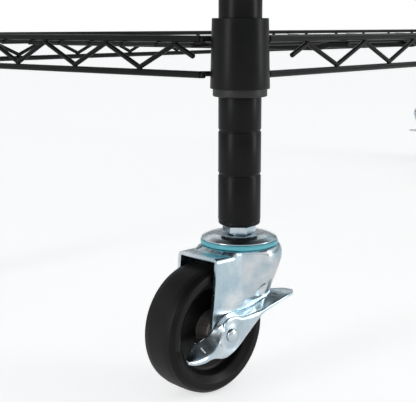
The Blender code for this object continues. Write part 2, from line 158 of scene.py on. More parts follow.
def fillet(points, radius, steps=4):
    """Replace the inner corners of an open line of points by arcs."""
    points = [Vector(p) for p in points]
    radii = radius if isinstance(radius, (list, tuple)) else [radius] * (len(points) - 2)
    line = [points[0]]
    for before, corner, after, size in zip(points, points[1:], points[2:], radii):
        way_in = (before - corner).normalized()
        way_out = (after - corner).normalized()
        angle = way_in.angle(way_out)
        if size <= 0 or angle > math.radians(178):
            line.append(corner)
            continue
        reach = min(size / math.tan(angle / 2), 0.48 * (before - corner).length,
                    0.48 * (after - corner).length)
        size = reach * math.tan(angle / 2)
        centre = corner + (way_in + way_out).normalized() * size / math.sin(angle / 2)
        start, end = corner + way_in * reach - centre, corner + way_out * reach - centre
        turn = start.angle(end)
        for i in range(steps + 1):
            t = i / steps
            arm = (start * math.sin((1 - t) * turn) + end * math.sin(t * turn)) / math.sin(turn)
            line.append(centre + arm)
    line.append(points[-1])
    return line


def spline(points, steps):
    """A smooth line through the points (Catmull-Rom), with the given steps between two points."""
    p = [Vector(q) for q in points]
    p = [2 * p[0] - p[1], *p, 2 * p[-1] - p[-2]]
    line = []
    for a, b, c, d in zip(p, p[1:], p[2:], p[3:]):
        for i in range(steps):
            t = i / steps
            line.append(0.5 * (2 * b + (c - a) * t + (2 * a - 5 * b + 4 * c - d) * t**2
                               + (3 * b - a - 3 * c + d) * t**3))
    return line + [p[-2]]


def smooth_step(low, high, x):
    """0 below low and 1 above high, with a smooth change between them."""
    t = min(max((x - low) / (high - low), 0.0), 1.0)
    return t * t * (3 - 2 * t)


class Shape:
    """Points and faces of one or more sheets, gathered before they become a mesh."""

    def __init__(self):
        self.points = []
        self.faces = []

    def grid(self, rows, ring=False, loop=False):
        """Quads between rows of points. ring closes each row, loop joins the last row to the first."""
        start, width = len(self.points), len(rows[0])
        for row in rows:
            self.points.extend(tuple(p) for p in row)
        row_count = len(rows) if loop else len(rows) - 1
        column_count = width if ring else width - 1
        for i in range(row_count):
            a, b = start + i * width, start + (i + 1) % len(rows) * width
            for j in range(column_count):
                k = (j + 1) % width
                self.faces.append((a + j, b + j, b + k, a + k))

    def face(self, points):
        start = len(self.points)
        self.points.extend(tuple(p) for p in points)
        self.faces.append(tuple(range(start, start + len(points))))

    def turned(self, profile, steps=ROUND, closed=False, centre=(0, 0), slit=0.0):
        """Turn a profile of (radius, height) round the vertical line through the centre.

        The profile's outer side runs downwards. slit leaves that angle open, with flat ends.
        """
        count = steps + 1 if slit else steps
        angles = [slit / 2 + (2 * math.pi - slit) * i / steps for i in range(count)]
        rows = [[(centre[0] + r * math.cos(a), centre[1] + r * math.sin(a), z) for a in angles]
                for r, z, *_ in profile]
        self.grid(rows, ring=not slit, loop=closed)
        if slit:
            self.face([row[0] for row in rows])
            self.face([row[-1] for row in reversed(rows)])

    def tube(self, points, radius, sides=12, chamfer=0.25):
        """A round wire along the points. Its ends are closed and chamfered by a share of the radius."""
        points = [Vector(p) for p in points]
        first, last = (points[1] - points[0]).normalized(), (points[-1] - points[-2]).normalized()
        cut = chamfer * radius
        rings = [(points[0], 1 - chamfer), (points[0] + first * cut, 1.0)]
        rings += [(p, 1.0) for p in points[1:-1]]
        rings += [(points[-1] - last * cut, 1.0), (points[-1], 1 - chamfer)]
        side = first.orthogonal().normalized()
        rows = []
        for i, (point, share) in enumerate(rings):
            ahead = rings[min(i + 1, len(rings) - 1)][0]
            behind = rings[max(i - 1, 0)][0]
            way = (ahead - behind).normalized()
            side = (side - way * side.dot(way)).normalized()
            other = way.cross(side)
            rows.append([
                point + (side * math.cos(a) + other * math.sin(a)) * radius * share
                for a in (2 * math.pi * j / sides for j in range(sides))
            ])
        self.grid(rows, ring=True)
        self.face(list(reversed(rows[0])))
        self.face(rows[-1])

    def bead(self, centre, size, steps=10):
        """A weld bead: a small rounded lump with the given half sizes."""
        rows = []
        for i in range(1, steps // 2):
            polar = math.pi * i / (steps // 2)
            rows.append([
                (centre[0] + size[0] * math.sin(polar) * math.cos(a),
                 centre[1] + size[1] * math.sin(polar) * math.sin(a),
                 centre[2] + size[2] * math.cos(polar))
                for a in (2 * math.pi * j / steps for j in range(steps))
            ])
        self.grid(rows, ring=True)
        self.face(list(reversed(rows[0])))
        self.face(rows[-1])

    def mesh(self, name, sharp=35):
        data = bpy.data.meshes.new(name)
        data.from_pydata(self.points, [], self.faces)
        shape = bmesh.new()
        shape.from_mesh(data)
        bmesh.ops.remove_doubles(shape, verts=shape.verts, dist=1e-6)
        bmesh.ops.dissolve_degenerate(shape, edges=shape.edges, dist=1e-7)
        bmesh.ops.recalc_face_normals(shape, faces=shape.faces)
        shape.to_mesh(data)
        shape.free()
        data.shade_smooth()
        data.set_sharp_from_angle(angle=math.radians(sharp))
        return data


def arc(centre, radius, start, end, steps):
    """Points (x, y) on an arc, with the angles in degrees."""
    angles = [math.radians(start + (end - start) * i / steps) for i in range(steps + 1)]
    return [(centre[0] + radius * math.cos(a), centre[1] + radius * math.sin(a)) for a in angles]


def flat(points):
    """Profile points for fillet(), which wants vectors of three."""
    return [(r, z, 0.0) for r, z in points]


# Materials


class Finish:
    """A material with a Principled shader, and short ways to add nodes to it."""

    def __init__(self, name, colour, roughness, metallic=0.0, **sockets):
        self.material = bpy.data.materials.new(name)
        self.material.use_nodes = True
        self.nodes = self.material.node_tree.nodes
        self.link = self.material.node_tree.links.new
        self.shader = self.nodes["Principled BSDF"]
        self.shader.inputs["Base Color"].default_value = (*colour, 1.0)
        self.shader.inputs["Roughness"].default_value = roughness
        self.shader.inputs["Metallic"].default_value = metallic
        for socket, value in sockets.items():
            self.shader.inputs[socket.replace("_", " ")].default_value = value
        self.place = self.nodes.new("ShaderNodeTexCoord").outputs["Object"]
        self.normal = None

    def noise(self, scale, detail=3.0, stretch=None):
        """Noise in metres: scale is in features per metre, stretch multiplies each axis."""
        texture = self.nodes.new("ShaderNodeTexNoise")
        texture.inputs["Scale"].default_value = scale
        texture.inputs["Detail"].default_value = detail
        texture.inputs["Roughness"].default_value = 0.5
        place = self.place
        if stretch:
            mapping = self.nodes.new("ShaderNodeMapping")
            mapping.inputs["Scale"].default_value = stretch
            self.link(place, mapping.inputs["Vector"])
            place = mapping.outputs["Vector"]
        self.link(place, texture.inputs["Vector"])
        return texture.outputs["Fac"]

    def remap(self, value, low, high, to_low, to_high):
        node = self.nodes.new("ShaderNodeMapRange")
        node.inputs["From Min"].default_value = low
        node.inputs["From Max"].default_value = high
        node.inputs["To Min"].default_value = to_low
        node.inputs["To Max"].default_value = to_high
        self.link(value, node.inputs["Value"])
        return node.outputs["Result"]

    def mix(self, factor, first, second):
        node = self.nodes.new("ShaderNodeMix")
        node.data_type = "RGBA"
        for socket, colour in ((node.inputs[6], first), (node.inputs[7], second)):
            if isinstance(colour, tuple):
                socket.default_value = (*colour, 1.0)
            else:
                self.link(colour, socket)
        self.link(factor, node.inputs[0])
        return node.outputs[2]

    def colour(self, value):
        self.link(value, self.shader.inputs["Base Color"])

    def rough(self, value):
        self.link(value, self.shader.inputs["Roughness"])

    def bump(self, value, strength, distance):
        node = self.nodes.new("ShaderNodeBump")
        node.inputs["Strength"].default_value = strength
        node.inputs["Distance"].default_value = distance
        self.link(value, node.inputs["Height"])
        if self.normal:
            self.link(self.normal, node.inputs["Normal"])
        self.normal = node.outputs["Normal"]
        self.link(self.normal, self.shader.inputs["Normal"])


def powder_coat():
    """Satin black powder coat with fine orange peel and slight changes of gloss."""
    coat = Finish("powder_coat", (0.004, 0.004, 0.0043), 0.32, Specular_IOR_Level=0.20)
    cloud = coat.noise(60, 4)
    coat.colour(coat.mix(coat.remap(cloud, 0.35, 0.7, 0, 1), (0.0032, 0.0032, 0.0035),
                         (0.0056, 0.0055, 0.0058)))
    coat.rough(coat.remap(cloud, 0.3, 0.7, 0.29, 0.38))
    coat.bump(coat.noise(900, 2), 0.22, 0.06 * MM)
    coat.bump(coat.noise(3600, 1), 0.10, 0.02 * MM)
    return coat.material


def moulded_plastic(name, shade, roughness):
    plastic = Finish(name, (shade, shade, shade), roughness)
    cloud = plastic.noise(140, 3)
    plastic.colour(plastic.mix(cloud, (shade * 0.8,) * 3, (shade * 1.3, shade * 1.28, shade * 1.25)))
    plastic.rough(plastic.remap(cloud, 0.3, 0.7, roughness - 0.05, roughness + 0.07))
    plastic.bump(plastic.noise(2600, 2), 0.25, 0.04 * MM)
    return plastic.material


def zinc_plate(name="zinc_plate", roughness=0.21):
    """Bright blue-white zinc plating: faint coloured clouds, drawing marks and small spangles."""
    zinc = Finish(name, (0.80, 0.84, 0.87), roughness, 1.0)
    cloud = zinc.noise(75, 3)
    tint = zinc.mix(zinc.remap(cloud, 0.35, 0.65, 0, 1), (0.60, 0.71, 0.79), (0.90, 0.92, 0.92))
    patch = zinc.remap(zinc.noise(42, 2), 0.48, 0.62, 0, 0.75)
    zinc.colour(zinc.mix(patch, tint, (0.42, 0.58, 0.66)))
    marks = zinc.noise(260, 3, (1.0, 1.0, 5.0))
    zinc.rough(zinc.remap(marks, 0.3, 0.7, roughness - 0.05, roughness + 0.08))
    zinc.bump(zinc.noise(60, 2), 0.55, 0.5 * MM)
    zinc.bump(zinc.noise(420, 3), 0.10, 0.05 * MM)
    zinc.bump(zinc.noise(2400, 2, (1.0, 1.0, 0.25)), 0.06, 0.02 * MM)
    return zinc.material


def hard_rubber():
    """Warm black wheel: fine moulded grain, and a duller, greyer worn tread."""
    rubber = Finish("hard_rubber", (0.006, 0.005, 0.005), 0.38, Specular_IOR_Level=0.21)
    cloud = rubber.noise(90, 4)
    body = rubber.mix(cloud, (0.0045, 0.0040, 0.0040), (0.0080, 0.0070, 0.0068))
    apart = rubber.nodes.new("ShaderNodeSeparateXYZ")
    rubber.link(rubber.place, apart.inputs[0])
    radius = rubber.nodes.new("ShaderNodeVectorMath")
    radius.operation = "LENGTH"
    flat_place = rubber.nodes.new("ShaderNodeCombineXYZ")
    rubber.link(apart.outputs["X"], flat_place.inputs["X"])
    rubber.link(apart.outputs["Y"], flat_place.inputs["Y"])
    rubber.link(flat_place.outputs[0], radius.inputs[0])
    tread = rubber.remap(radius.outputs["Value"], WHEEL_R - 1.2 * MM, WHEEL_R - 0.2 * MM, 0, 1)
    rubber.colour(rubber.mix(tread, body, (0.0095, 0.0085, 0.0082)))
    rubber.rough(rubber.remap(tread, 0, 1, 0.34, 0.47))
    rubber.bump(rubber.noise(700, 3), 0.16, 0.06 * MM)
    rubber.bump(rubber.noise(3000, 1), 0.10, 0.02 * MM)
    return rubber.material


def hub_plastic():
    """The hub boss, drawn along its length like a pressed-in bush."""
    boss = Finish("hub_boss", (0.10, 0.088, 0.082), 0.33, 0.35)
    lines = boss.noise(1500, 2, (1.0, 1.0, 0.04))
    boss.colour(boss.mix(lines, (0.09, 0.08, 0.076), (0.30, 0.265, 0.25)))
    boss.rough(boss.remap(lines, 0.3, 0.7, 0.28, 0.42))
    boss.bump(lines, 0.25, 0.04 * MM)
    return boss.material


def teal_plastic():
    teal = Finish("teal_plastic", (0.13, 0.56, 0.66), 0.34, Coat_Weight=0.3, Coat_Roughness=0.2)
    cloud = teal.noise(160, 2)
    teal.colour(teal.mix(cloud, (0.10, 0.50, 0.60), (0.17, 0.62, 0.72)))
    teal.bump(teal.noise(1600, 2), 0.12, 0.03 * MM)
    return teal.material


def mark_paint(name, shade):
    mark = Finish(name, shade, 0.45, 0.3)
    grain = mark.noise(1200, 2)
    mark.colour(mark.mix(grain, tuple(s * 0.8 for s in shade), tuple(min(s * 1.15, 1) for s in shade)))
    return mark.material


def floor_finish():
    """A pale matt floor that glows a little, so that it stays light around the cart."""
    floor = Finish("pale_floor", (0.86, 0.865, 0.87), 0.6)
    floor.colour(floor.mix(floor.noise(3, 2), (0.85, 0.855, 0.86), (0.87, 0.872, 0.875)))
    floor.shader.inputs["Emission Color"].default_value = (1.0, 1.0, 1.0, 1.0)
    seen = floor.nodes.new("ShaderNodeLightPath").outputs["Is Camera Ray"]
    glow = floor.remap(seen, 0, 1, FLOOR_GLOW / 2, FLOOR_GLOW)
    floor.link(glow, floor.shader.inputs["Emission Strength"])
    return floor.material


# Placing pieces


def add(name, data, finish, body, nodes=(), place=None):
    """Put a mesh in the scene as one piece, riding on a body and standing for CAD nodes."""
    piece = bpy.data.objects.new(name, data)
    bpy.context.scene.collection.objects.link(piece)
    if not data.materials:
        data.materials.append(finish)
    if place is not None:
        piece.matrix_world = place
    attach(piece, body)
    if nodes:
        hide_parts(*nodes)
    return piece


def settle(data, *modifiers):
    """The mesh with modifiers applied: each is (type, settings)."""
    piece = bpy.data.objects.new("settling", data)
    bpy.context.scene.collection.objects.link(piece)
    for kind, settings in modifiers:
        step = piece.modifiers.new(kind.lower(), kind)
        for key, value in settings.items():
            setattr(step, key, value)
    graph = bpy.context.evaluated_depsgraph_get()
    result = bpy.data.meshes.new_from_object(piece.evaluated_get(graph))
    bpy.data.objects.remove(piece)
    result.name = data.name
    result.shade_smooth()
    result.set_sharp_from_angle(angle=math.radians(40))
    return result


# Posts, caps and sleeves


def post_shape():
    """The post with a rolled groove at every pitch and a rounded lower end."""
    inner = POST_R - POST_WALL
    low, top = POST_LOW.z, POST_HIGH.z
    profile = [(inner, top), (POST_R - 0.4 * MM, top), (POST_R, top - 0.4 * MM)]
    count = int((top - 8 * MM - FIRST_GROOVE) / GROOVE_PITCH) + 1
    for k in reversed(range(count)):
        centre = FIRST_GROOVE + k * GROOVE_PITCH
        for i in range(9):
            t = 1 - i / 4
            depth = GROOVE_DEPTH * (0.5 + 0.5 * math.cos(math.pi * t)) ** 0.8
            profile.append((POST_R - depth, centre + GROOVE_HALF * t))
    profile += [(POST_R, low + 3.6 * MM), (POST_R - 0.12 * MM, low + 3.0 * MM)]
    profile += [(POST_R - 0.30 * MM, low + 2.5 * MM), (POST_R - 0.30 * MM, low + 2.2 * MM)]
    profile += arc((POST_R - 1.75 * MM, low + 1.7 * MM), 1.6 * MM, 0, -80, 6)
    profile += [(inner - 1.5 * MM, low), (inner - 1.5 * MM, low + 0.6 * MM), (inner, low + 1.4 * MM)]
    post = Shape()
    post.turned(profile, steps=72, closed=True)
    return post.mesh("steel_post", sharp=50)


def cap_shape():
    """A plastic plug with a low crowned head wider than the tube."""
    radius, top = (CAP_HIGH.x - CAP_LOW.x) / 2, CAP_HIGH.z
    under = POST_HIGH.z + GAP
    plug = POST_R - POST_WALL - GAP
    profile = fillet(flat([
        (0, top), (radius * 0.62, top - 0.1 * MM), (radius, top - 0.8 * MM),
        (radius, under), (plug, under), (plug, CAP_LOW.z), (0, CAP_LOW.z),
    ]), [6 * MM, 0.7 * MM, 0.2 * MM, 0.1 * MM, 0.6 * MM])
    cap = Shape()
    cap.turned(profile, steps=64)
    return cap.mesh("cap")


def sleeve_shape():
    """The tapered bush between post and collar; its rounded rim shows under the collar."""
    bore = POST_R + GAP / 2
    top, low = SLEEVE_HIGH.z, SLEEVE_LOW.z
    wide = COLLAR_R_LOW - COLLAR_WALL - GAP
    narrow = COLLAR_R_TOP - COLLAR_WALL - GAP
    profile = fillet(flat([
        (bore, top), (narrow, top), (wide, SHELF_LOW.z + 0.5 * MM), (wide + 0.1 * MM, low),
        (bore, low), (bore, top - 1 * MM),
    ]), [0.4 * MM, 2 * MM, 0.9 * MM, 0.5 * MM], steps=5)
    sleeve = Shape()
    sleeve.turned(profile[:-1], steps=64, closed=True, slit=2.2 * MM / POST_R)
    return sleeve.mesh("sleeve")


def build_posts(coat, plastic):
    post, cap, sleeve = post_shape(), cap_shape(), sleeve_shape()
    for corner, axis in AXES.items():
        at = Matrix.Translation(axis)
        add(f"steel_post_{corner}", post, coat, "root", [f"post_{corner}"], at)
        add(f"end_cap_{corner}", cap, plastic, "root", [f"post_cap_{corner}"], at)
        for shelf in SHELVES:
            lift = Matrix.Translation(axis + Vector((0, 0, SHELF_LIFT[shelf])))
            add(f"split_sleeve_{shelf}_{corner}", sleeve, plastic, "root",
                [f"sleeve_{shelf}_{corner}"], lift)


# Shelves


def collar(shape, centre):
    """A tapered collar round a post, rounded at both ends."""
    top, low = SHELF_HIGH.z, SHELF_LOW.z
    profile = fillet(flat([
        (COLLAR_R_TOP - COLLAR_WALL, top), (COLLAR_R_TOP, top), (COLLAR_R_LOW, low),
        (COLLAR_R_LOW - COLLAR_WALL, low), (COLLAR_R_TOP - COLLAR_WALL, top - 0.6 * MM),
    ]), [0.45 * MM, 0.45 * MM, 0.4 * MM], steps=4)
    shape.turned(profile[:-1], steps=72, closed=True, centre=centre)


def zigzag(first, pitch, tops, span):
    """The bends of one web as (distance from the middle, height), rounded, with free half legs."""
    high = HIGH_RAIL - RAIL_R - WEB_R + WELD_SINK
    low = LOW_RAIL + RAIL_R + WEB_R - WELD_SINK
    centre = (high + low) / 2
    points = [(first - pitch / 4, centre)]
    for i in range(tops):
        at = first + i * pitch
        points.append((at, high))
        if i < tops - 1:
            points.append((at + pitch / 2, low))
    points.append((first + (tops - 1) * pitch + pitch / 4, centre))
    return fillet([(at - span, z, 0) for at, z in points], 3.4 * MM, steps=6)


def side_of(shape, across, post_at, bends, flip):
    """One side of a shelf. across(t, z) gives the point at distance t along the side."""
    stop = post_at - COLLAR_R_LOW - 2.6 * MM
    for height in (LOW_RAIL, HIGH_RAIL):
        shape.tube([across(-stop, height), across(stop, height)], RAIL_R, 16, 0.35)
        for end in (-1, 1):
            shape.bead(across(end * (stop + 1.2 * MM), height - 0.4 * MM), (1.9 * MM,) * 3)
    shape.tube([across(flip * t, z) for t, z, _ in bends], WEB_R, 12)
    top = max(z for _, z, _ in bends)
    bottom = min(z for _, z, _ in bends)
    for before, bend, after in zip(bends, bends[1:], bends[2:]):
        crest = bend[1] == top or bend[1] > max(before[1], after[1])
        trough = bend[1] == bottom or bend[1] < min(before[1], after[1])
        if crest or trough:
            lift = (RAIL_R + WEB_R) / 2 * (1 if crest else -1)
            shape.bead(across(flip * bend[0], bend[1] + lift * 0.8), (2.3 * MM, 1.5 * MM, 1.0 * MM)
                       if abs(across(1, 0)[0] - across(0, 0)[0]) > 0.5 else
                       (1.5 * MM, 2.3 * MM, 1.0 * MM))


def frame_shape():
    """Collars, double rails, zigzags, braces and their weld beads."""
    shape = Shape()
    for axis in AXES.values():
        collar(shape, axis.xy)
    short_bends = zigzag(*SHORT_WEB, POST_Y)
    long_bends = zigzag(*LONG_WEB, POST_X)
    for side in (-1, 1):
        side_of(shape, lambda t, z, s=side: (s * SHORT_RAIL_X, t, z), POST_Y, short_bends, side)
        side_of(shape, lambda t, z, s=side: (t, s * LONG_RAIL_Y, z), POST_X, long_bends, -side)
    behind = (COLLAR_R_LOW + BRACE_R - WELD_SINK) * math.sqrt(2)
    for axis in AXES.values():
        sx, sy = math.copysign(1, axis.x), math.copysign(1, axis.y)
        for height in (LOW_RAIL, HIGH_RAIL):
            start = (sx * SHORT_RAIL_X, sy * (POST_Y - behind - (SHORT_RAIL_X - POST_X)), height)
            end = (sx * (POST_X - behind - (LONG_RAIL_Y - POST_Y)), sy * LONG_RAIL_Y, height)
            shape.tube([start, end], BRACE_R, 12)
            for point, inward in ((start, (-0.5, 0)), (end, (0, -0.5))):
                at = (point[0] + sx * inward[0] * RAIL_R, point[1] + sy * inward[1] * RAIL_R, height)
                shape.bead(at, (2.6 * MM, 2.6 * MM, 2.2 * MM))
            shape.bead((axis.x - sx * COLLAR_R_LOW * 0.72, axis.y - sy * COLLAR_R_LOW * 0.72,
                        height), (2.0 * MM, 2.0 * MM, 2.4 * MM))
    return shape.mesh("wire_frame")


def deck_shape():
    """The mat of thin wires on stringers, with a spot weld at every crossing."""
    z = HIGH_RAIL - RAIL_R - DECK_R - GAP
    low = z - DECK_R - STRINGER_R + WELD_SINK
    high = HIGH_RAIL - RAIL_R - STRINGER_R - GAP
    end_x = SHORT_RAIL_X + RAIL_R
    end_y = LONG_RAIL_Y + RAIL_R
    jog_in, jog_out = STRINGER_JOG
    rows = [(i - (DECK_WIRES - 1) / 2) * DECK_PITCH for i in range(DECK_WIRES)]
    stringers = [s * (POST_X - distance) for distance in STRINGERS for s in (-1, 1)]
    shape = Shape()
    for y in rows:
        shape.tube([(-end_x, y, z), (end_x, y, z)], DECK_R, 12)
    half = [(0, low), (jog_in, low), (jog_out, high), (end_y, high)]
    run = [(-y, h) for y, h in reversed(half)] + half[1:]
    for x in stringers:
        shape.tube(fillet([(x, y, h) for y, h in run], 6 * MM), STRINGER_R, 12)
        for y in rows:
            shape.bead((x, y, z - DECK_R), (1.9 * MM, 1.9 * MM, 0.9 * MM))
    return shape.mesh("wire_deck")


def build_shelves(coat):
    wires, deck = frame_shape(), deck_shape()
    for shelf in SHELVES:
        lift = Matrix.Translation((0, 0, SHELF_LIFT[shelf]))
        add(f"welded_frame_{shelf}", wires, coat, "root",
            [f"shelf_frame_{shelf}"], lift)
        add(f"wire_deck_{shelf}", deck, coat, "root",
            [f"shelf_deck_{shelf}"], lift)


# Casters


def stem_shape():
    """A hexagon flange under the post, with the threaded stem above and the kingpin below."""
    low, top = RACEWAY_HIGH.z + GAP, POST_LOW.z - GAP
    edge = 0.5 * MM
    nut = Shape()
    rings = [(0.90, top), (0.97, top - 0.15 * MM), (1.0, top - edge), (1.0, low + edge),
             (0.97, low + 0.15 * MM), (0.90, low)]
    rows = [[(HEX_R * share * math.cos(a), HEX_R * share * math.sin(a), z)
             for a in (math.radians(HEX_TURN + 60 * j) for j in range(6))] for share, z in rings]
    nut.grid(rows, ring=True)
    nut.face(list(reversed(rows[0])))
    nut.face(rows[-1])
    turns = [(0, STEM_TOP), (THREAD_R - 0.6 * MM, STEM_TOP)]
    z = STEM_TOP - 0.6 * MM
    while z > top + THREAD_PITCH:
        turns += [(THREAD_R, z), (THREAD_R - THREAD_DEPTH, z - THREAD_PITCH / 2)]
        z -= THREAD_PITCH
    head = CROWN - SHEET - GAP
    turns += [(THREAD_R, top), (6 * MM, top - 1 * MM), (6 * MM, head)]
    turns += [(9 * MM, head), (9 * MM, head - 0.8 * MM), (6 * MM, head - 2.6 * MM), (0, head - 2.6 * MM)]
    nut.turned(turns, steps=32)
    return nut.mesh("stem", sharp=25)


def raceway_shape():
    """A pressed cup washer: a low dome with a dished seat for the nut and a rolled lip."""
    top, low = RACEWAY_HIGH.z, RACEWAY_LOW.z
    bore = 6.3 * MM
    outer = fillet(flat([
        (bore, top - 0.2 * MM), (13.0 * MM, top - 0.15 * MM), (14.6 * MM, top),
        (19.0 * MM, top - 1.0 * MM), (RACEWAY_R, top - 2.6 * MM), (RACEWAY_R, low),
        (19.0 * MM, low), (13.0 * MM, top - 1.7 * MM), (bore, top - 1.7 * MM),
    ]), [1 * MM, 2 * MM, 7 * MM, 1.1 * MM, 0.3 * MM, 0.3 * MM, 1 * MM], steps=6)
    cup = Shape()
    cup.turned(outer, steps=CASTER_ROUND, closed=True)
    return cup.mesh("raceway", sharp=50)


def seal_shape():
    """A plain ring with a softened edge and a fine groove round its upper rim."""
    top, low = SEAL_HIGH.z, SEAL_LOW.z
    ring = fillet(flat([
        (17.5 * MM, top), (SEAL_R - 0.35 * MM, top), (SEAL_R - 0.35 * MM, top - 0.5 * MM),
        (SEAL_R, top - 0.6 * MM), (SEAL_R, low), (17.5 * MM, low), (17.5 * MM, top - 0.5 * MM),
    ]), [0.12 * MM, 0.1 * MM, 0.15 * MM, 0.4 * MM, 0.1 * MM], steps=4)
    seal = Shape()
    seal.turned(ring[:-1], steps=CASTER_ROUND, closed=True)
    return seal.mesh("seal", sharp=50)


HOOD_LINE = ((80.3, 25.3), (74.5, 25.2), (69.0, 23.6), (63.0, 21.5), (57.5, 19.4), (53.9, 18.0),
             (51.8, 15.6), (40.0, 10.0))  # height and radius of the hood, in mm
CREASE_U = 14.5 * MM  # where the round hood runs out into the flat leg
CREASE_SOFT = 0.7 * MM
DIMPLE = (0.6 * MM, 57.2 * MM)  # the pressed oval in the side, its half sizes, depth and lean
DIMPLE_HALF = (3.7 * MM, 5.0 * MM)
DIMPLE_DEPTH = 0.9 * MM
DIMPLE_LEAN = math.radians(24)
KINGPIN_HOLE_R = 7 * MM
CROWN_SLOPE = 2.6 * MM  # width of the step down from the raised ring
BEND = 2.6 * MM
BEND_STEPS = 7
WALL_STEPS = 44
REAR_ARC = math.radians(56)  # how far the round back of the hood goes on each side
REAR_COLUMNS = 24
SIDE_COLUMNS = 56
LEG_CORNER = Vector((-11.0, 54.3)) * MM  # where the leg's rear edge leaves the hood


def hood_radius(z):
    """The hood's radius at a height, from the profile's points."""
    heights = [h * MM for h, _ in reversed(HOOD_LINE)]
    radii = [r * MM for _, r in reversed(HOOD_LINE)]
    return float(np.interp(z, heights, radii))


def wall_v(u, z):
    """How far out the fork's side wall stands at a place in the side view."""
    r = hood_radius(z)
    if u <= 0:
        hood = math.sqrt(max(r * r - u * u, 0.0))
    else:
        share = 0.5 * (1 + math.cos(math.pi * min(u / CREASE_U, 1.0)))
        hood = FORK_HALF + (r - FORK_HALF) * share if r > FORK_HALF else r
    soft = CREASE_SOFT
    v = 0.5 * (hood + FORK_HALF + math.sqrt((hood - FORK_HALF)**2 + soft**2))
    v -= 0.5 * soft if hood <= FORK_HALF else 0.5 * soft * soft / (soft + (hood - FORK_HALF) * 4)
    du, dz = u - DIMPLE[0], z - DIMPLE[1]
    across = du * math.cos(DIMPLE_LEAN) + dz * math.sin(DIMPLE_LEAN)
    along = -du * math.sin(DIMPLE_LEAN) + dz * math.cos(DIMPLE_LEAN)
    spot = math.hypot(across / DIMPLE_HALF[0], along / DIMPLE_HALF[1])
    return v - DIMPLE_DEPTH * (1 - smooth_step(0.45, 1.0, spot))


def leg_end(t):
    """The lower edge of the leg in the side view, from its rear corner to its front edge."""
    bottom = arc((TRAIL, WHEEL_R), LEG_R, -128, 5, 24)
    edge = [LEG_CORNER, LEG_CORNER + Vector((1.2, -1.6)) * MM, *[Vector(p) for p in bottom]]
    lengths = np.cumsum([0] + [(b - a).length for a, b in zip(edge, edge[1:])])
    at = t * lengths[-1]
    return (float(np.interp(at, lengths, [p.x for p in edge])),
            float(np.interp(at, lengths, [p.y for p in edge])))


def plan_point(u):
    """The wall's plan at the top for a place along the fork, and its outward direction."""
    z = FORK_TOP - BEND
    v = wall_v(u, z)
    step = 0.05 * MM
    slope = (wall_v(u + step, z) - wall_v(u - step, z)) / (2 * step)
    way = Vector((-slope, 1.0)).normalized()
    return Vector((u, v)), way


def crown_height(r):
    """Height of the fork's top at a distance from the swivel axis: a raised ring under the seal."""
    ring = SEAL_R + 0.5 * MM
    return FORK_TOP + (CROWN - FORK_TOP) * (1 - smooth_step(ring, ring + CROWN_SLOPE, r))


def top_rows(target, count=14):
    """Points across the fork's top from the kingpin hole to the start of the bend."""
    way = Vector(target)
    length = way.length
    rows = []
    for i in range(count):
        r = KINGPIN_HOLE_R + (length - KINGPIN_HOLE_R) * (i / (count - 1)) ** 0.8
        p = way * r / length
        rows.append((p.x, p.y, crown_height(r)))
    return rows


def top_and_bend(outline, way):
    """Points from the kingpin hole over the top and round the bend, to where the wall starts."""
    column = top_rows(outline - way * BEND)
    for k in range(1, BEND_STEPS + 1):
        beta = math.pi / 2 * k / BEND_STEPS
        p = outline - way * BEND * (1 - math.sin(beta))
        column.append((p.x, p.y, crown_height(p.length) - BEND * (1 - math.cos(beta))))
    return column


def fork_half():
    """The braked half of the fork's outer skin: crown, bend and wall, then the crown's front."""
    z_wall = FORK_TOP - BEND
    columns = []
    for i in range(REAR_COLUMNS):
        share = i / (REAR_COLUMNS - 1)
        way = Vector((-math.cos(REAR_ARC * share), math.sin(REAR_ARC * share)))
        low = (60.5 - 6.2 * smooth_step(0.1, 1.0, share)) * MM
        column = top_and_bend(way * HOOD_R, way)
        for k in range(1, WALL_STEPS + 1):
            z = z_wall + (low - z_wall) * k / WALL_STEPS
            p = way * hood_radius(z)
            spot = wall_v(p.x, z) - max(math.sqrt(max(hood_radius(z)**2 - p.x**2, 0)), FORK_HALF)
            fade = smooth_step(0.5, 1.0, i / REAR_COLUMNS)
            column.append((p.x, p.y + min(spot, 0) * fade, z))
        columns.append(column)
    first_u = -math.cos(REAR_ARC) * HOOD_R
    for i in range(1, SIDE_COLUMNS + 1):
        t = i / SIDE_COLUMNS
        u = first_u + (FORK_FRONT - first_u) * t
        column = top_and_bend(*plan_point(u))
        end_u, end_z = leg_end(t)
        for k in range(1, WALL_STEPS + 1):
            s = k / WALL_STEPS
            at_u = u + (end_u - u) * s
            at_z = z_wall + (end_z - z_wall) * s
            column.append((at_u, wall_v(at_u, at_z), at_z))
        columns.append(column)
    half = Shape()
    half.grid(columns)
    front = Vector(plan_point(FORK_FRONT)[0]) - Vector((0, BEND))
    front_columns = [top_rows((FORK_FRONT, front.y * (1 - i / 10))) for i in range(11)]
    half.grid(front_columns)
    return half


def fork_shape():
    """The pressed fork: both halves of the skin, thickened inwards, with softened cut edges."""
    half = fork_half()
    both = Shape()
    count = len(half.points)
    both.points = half.points + [(u, -v, z) for u, v, z in half.points]
    both.faces = half.faces + [tuple(count + i for i in reversed(face)) for face in half.faces]
    skin = both.mesh("fork", sharp=60)
    face = max(skin.polygons, key=lambda p: p.center.z)
    if face.normal.z < 0:
        skin.flip_normals()
    return settle(
        skin,
        ("SOLIDIFY", {"thickness": SHEET, "offset": -1.0, "use_even_offset": False}),
        ("BEVEL", {"width": 0.35 * MM, "segments": 2, "limit_method": "ANGLE",
                   "angle_limit": math.radians(50)}),
    )


